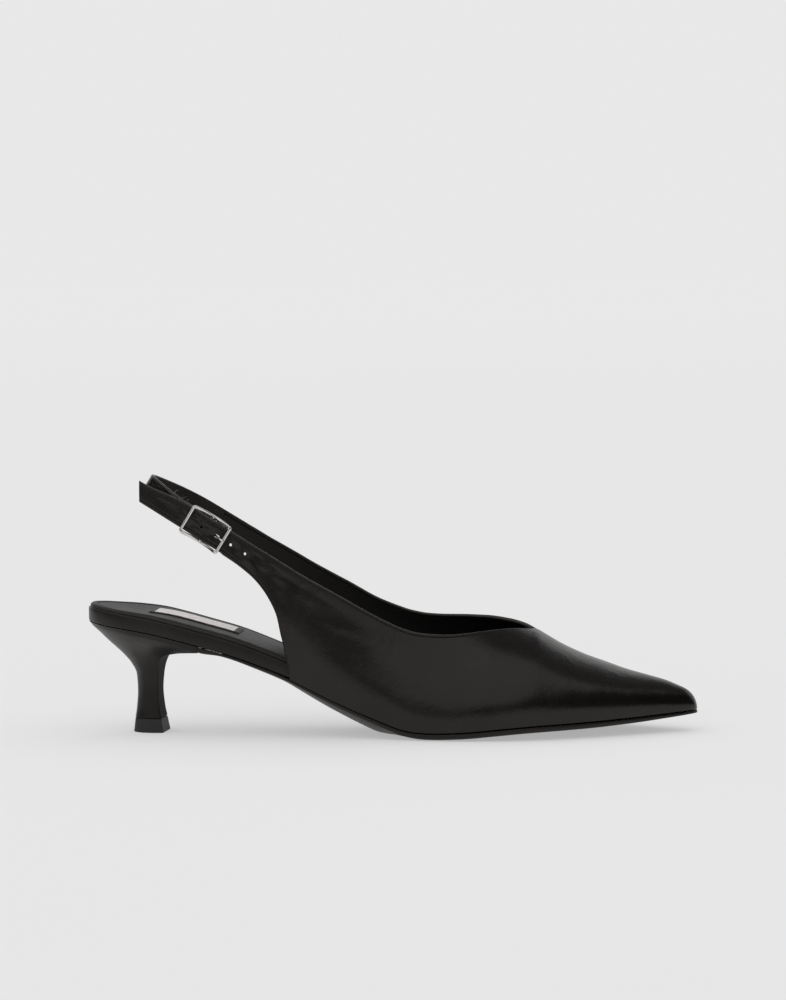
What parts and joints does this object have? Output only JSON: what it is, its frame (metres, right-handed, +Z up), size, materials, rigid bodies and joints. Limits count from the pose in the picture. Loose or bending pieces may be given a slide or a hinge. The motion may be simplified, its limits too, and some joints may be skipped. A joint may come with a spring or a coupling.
{
  "type": "slingback pump",
  "caption": "Pointed black leather slingback pump for the right foot, with a low flared heel and a strap around the heel that closes with a small metal buckle.",
  "frame": {"origin": "on the floor, under the middle of the shoe's length and width", "axes": "+X towards the toe, +Y towards the medial (inner) side, so the buckle is on the -Y side, +Z up"},
  "size_m": [0.262, 0.0768, 0.1115],
  "materials": {
    "outsole": "smooth black leather, dull underneath, bevelled at the waist",
    "insole": "board wrapped in satin black leather",
    "sock": "soft padded black leather with a matt sheen",
    "label": "plain pale cloth strip with a thin dark border, left bare",
    "upper": "smooth black leather with a soft shine, folded edge and matt lining",
    "heel": "block wrapped in satin black leather",
    "top_lift": "matt black rubber",
    "sling_strap": "smooth black leather with a soft shine",
    "buckle": "polished silver metal"
  },
  "bodies": {
    "root": {"outsole": "outsole", "insole": "insole", "sock": "sock", "label": "label", "upper": "upper", "heel": "heel", "top_lift": "top_lift", "sling_strap": "sling_strap", "buckle_frame": "buckle", "buckle_prong": "buckle"}
  },
  "joints": []
}
